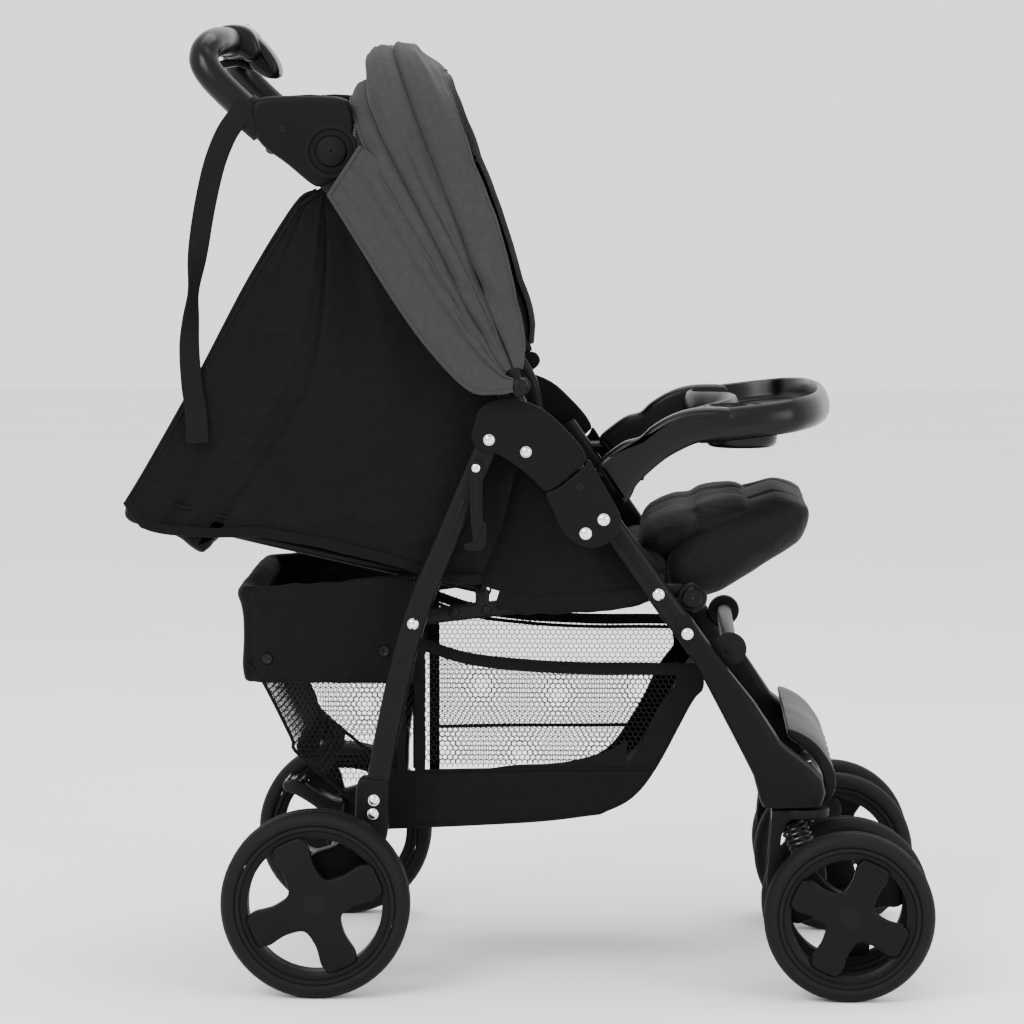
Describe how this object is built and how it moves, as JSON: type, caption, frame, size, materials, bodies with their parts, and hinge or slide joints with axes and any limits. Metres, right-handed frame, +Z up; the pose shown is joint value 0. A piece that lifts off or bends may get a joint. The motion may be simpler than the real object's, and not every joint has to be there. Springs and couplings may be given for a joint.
{
  "type": "baby stroller",
  "caption": "Folding baby stroller with reclining seat, canopy, parent and child trays, basket, rear wheels and sprung twin swivel casters.",
  "frame": {"origin": "centre of the bounding box on the floor", "axes": "+X forward, +Y to the left side, +Z up"},
  "size_m": [0.8185, 0.518, 0.9743],
  "materials": {
    "black_tube": "satin powder coat",
    "black_plastic": "fine grain",
    "chrome_rivet": "bright",
    "spring_steel": "dark plated wire",
    "tyre_foam": "matte foam rubber",
    "black_cloth": "fine plain weave",
    "mesh_cloth": "open hexagonal mesh with a solid bottom panel",
    "grey_cloth": "fine plain weave",
    "webbing": "ribbed webbing"
  },
  "bodies": {
    "frame": {"front_leg_tubes": "black_tube", "front_leg_shells": "black_plastic", "front_cross_tube": "black_tube", "footrest": "black_plastic", "side_brackets": "black_plastic", "bracket_pins": "chrome_rivet", "seat_rails": "black_tube", "seat_board": "black_plastic", "seat_cushion": "black_cloth", "seat_side_cloth": "black_cloth", "lap_harness": "webbing", "harness_buckle": "black_plastic", "basket_body": "mesh_cloth", "basket_pocket": "black_cloth"},
    "handle": {"push_tubes": "black_tube", "handlebar": "black_plastic", "parent_tray": "black_plastic", "fold_housing": "black_plastic", "canopy_clips": "black_plastic", "canopy_rear_bow": "black_plastic", "canopy_rear_cloth": "grey_cloth", "cabin_cloth": "black_cloth", "wrist_strap": "webbing"},
    "fold_slide": {"fold_slide": "chrome_rivet"},
    "fold_trigger": {"fold_trigger": "black_plastic"},
    "canopy_mid": {"canopy_mid_bow": "black_plastic", "canopy_front_cloth": "grey_cloth"},
    "canopy_front": {"canopy_front_bow": "black_plastic", "canopy_peak": "grey_cloth"},
    "rear_frame": {"rear_leg_tubes": "black_tube", "rear_axle": "black_tube", "rear_housings": "black_plastic"},
    "storage_latch": {"storage_latch": "black_plastic"},
    "brake_right": {"brake_pedal_right": "black_plastic"},
    "brake_left": {"brake_pedal_left": "black_plastic"},
    "rear_wheel_right": {"rear_rim_right": "black_plastic", "rear_tyre_right": "tyre_foam"},
    "rear_wheel_left": {"rear_rim_left": "black_plastic", "rear_tyre_left": "tyre_foam"},
    "backrest": {"backrest_frame": "black_tube", "backrest_cushion": "black_cloth", "backrest_skirt": "black_cloth", "shoulder_straps": "webbing"},
    "legrest": {"legrest_board": "black_plastic", "legrest_pad": "black_cloth"},
    "child_tray": {"child_tray": "black_plastic"},
    "caster_right": {"caster_head_right": "black_plastic", "caster_spring_right": "spring_steel"},
    "caster_arm_right": {"caster_arm_right": "black_plastic"},
    "front_wheel_right_out": {"front_rim_right_out": "black_plastic", "front_tyre_right_out": "tyre_foam"},
    "front_wheel_right_in": {"front_rim_right_in": "black_plastic", "front_tyre_right_in": "tyre_foam"},
    "caster_left": {"caster_head_left": "black_plastic", "caster_spring_left": "spring_steel"},
    "caster_arm_left": {"caster_arm_left": "black_plastic"},
    "front_wheel_left_out": {"front_rim_left_out": "black_plastic", "front_tyre_left_out": "tyre_foam"},
    "front_wheel_left_in": {"front_rim_left_in": "black_plastic", "front_tyre_left_in": "tyre_foam"}
  },
  "joints": [
    {"name": "fold", "type": "hinge", "parent": "frame", "child": "handle", "pos_m": [0.0014, 0, 0.5475], "axis": [0, 1, 0], "range_deg": [0, 130], "deforming": ["cabin_cloth", "basket_body", "basket_pocket", "wrist_strap"]},
    {"name": "rear_leg_fold", "type": "hinge", "parent": "frame", "child": "rear_frame", "pos_m": [-0.0355, 0, 0.5594], "axis": [0, -1, 0], "range_deg": [0, 28]},
    {"name": "canopy_open", "type": "hinge", "parent": "handle", "child": "canopy_mid", "pos_m": [-0.005, 0, 0.613], "axis": [0, -1, 0], "range_deg": [-18, 0], "deforming": ["canopy_rear_cloth", "canopy_front_cloth"]},
    {"name": "canopy_front_open", "type": "hinge", "parent": "canopy_mid", "child": "canopy_front", "pos_m": [-0.005, 0, 0.613], "axis": [0, -1, 0], "range_deg": [-26.1, 0]},
    {"name": "recline", "type": "hinge", "parent": "frame", "child": "backrest", "pos_m": [-0.044, 0, 0.403], "axis": [0, -1, 0], "range_deg": [-50, 0], "deforming": ["cabin_cloth"]},
    {"name": "legrest_drop", "type": "hinge", "parent": "frame", "child": "legrest", "pos_m": [0.168, 0, 0.397], "axis": [0, -1, 0], "range_deg": [-55, 0]},
    {"name": "child_tray_slide", "type": "slide", "parent": "frame", "child": "child_tray", "axis": [-1, 0, 0], "range_m": [-0.06, 0]},
    {"name": "fold_slide_move", "type": "slide", "parent": "handle", "child": "fold_slide", "axis": [0, 1, 0], "range_m": [0, 0.012]},
    {"name": "fold_trigger_squeeze", "type": "slide", "parent": "handle", "child": "fold_trigger", "axis": [0, 0, 1], "range_m": [0, 0.0018], "stiffness_N_per_m": 400, "springref_m": -0.002},
    {"name": "latch_swing", "type": "hinge", "parent": "rear_frame", "child": "storage_latch", "pos_m": [-0.0485, -0.216, 0.5314], "axis": [0, 1, 0], "range_deg": [0, 40]},
    {"name": "brake_press_right", "type": "hinge", "parent": "rear_frame", "child": "brake_right", "pos_m": [-0.215, -0.168, 0.128], "axis": [0, -1, 0], "range_deg": [0, 20]},
    {"name": "brake_press_left", "type": "hinge", "parent": "rear_frame", "child": "brake_left", "pos_m": [-0.215, 0.168, 0.128], "axis": [0, -1, 0], "range_deg": [0, 20]},
    {"name": "rear_wheel_right_spin", "type": "hinge", "parent": "rear_frame", "child": "rear_wheel_right", "pos_m": [-0.209, -0.235, 0.095], "axis": [0, 1, 0], "continuous": true},
    {"name": "rear_wheel_left_spin", "type": "hinge", "parent": "rear_frame", "child": "rear_wheel_left", "pos_m": [-0.209, 0.235, 0.095], "axis": [0, 1, 0], "continuous": true},
    {"name": "caster_right_swivel", "type": "hinge", "parent": "frame", "child": "caster_right", "pos_m": [0.28, -0.195, 0.19], "axis": [0, 0, 1], "continuous": true},
    {"name": "suspension_right", "type": "hinge", "parent": "caster_right", "child": "caster_arm_right", "pos_m": [0.254, -0.195, 0.114], "axis": [0, -1, 0], "range_deg": [0, 5], "stiffness_Nm_per_rad": 60, "springref_deg": -6.88, "deforming": ["caster_spring_right"]},
    {"name": "front_wheel_right_out_spin", "type": "hinge", "parent": "caster_arm_right", "child": "front_wheel_right_out", "pos_m": [0.325, -0.243, 0.0855], "axis": [0, 1, 0], "continuous": true},
    {"name": "front_wheel_right_in_spin", "type": "hinge", "parent": "caster_arm_right", "child": "front_wheel_right_in", "pos_m": [0.325, -0.147, 0.0855], "axis": [0, 1, 0], "continuous": true},
    {"name": "caster_left_swivel", "type": "hinge", "parent": "frame", "child": "caster_left", "pos_m": [0.28, 0.195, 0.19], "axis": [0, 0, 1], "continuous": true},
    {"name": "suspension_left", "type": "hinge", "parent": "caster_left", "child": "caster_arm_left", "pos_m": [0.254, 0.195, 0.114], "axis": [0, -1, 0], "range_deg": [0, 5], "stiffness_Nm_per_rad": 60, "springref_deg": -6.88, "deforming": ["caster_spring_left"]},
    {"name": "front_wheel_left_out_spin", "type": "hinge", "parent": "caster_arm_left", "child": "front_wheel_left_out", "pos_m": [0.325, 0.243, 0.0855], "axis": [0, 1, 0], "continuous": true},
    {"name": "front_wheel_left_in_spin", "type": "hinge", "parent": "caster_arm_left", "child": "front_wheel_left_in", "pos_m": [0.325, 0.147, 0.0855], "axis": [0, 1, 0], "continuous": true}
  ],
  "couplings": [
    {"joint": "rear_leg_fold", "follows": "fold", "ratio": 0.21538},
    {"joint": "canopy_front_open", "follows": "canopy_open", "ratio": 1.45}
  ]
}
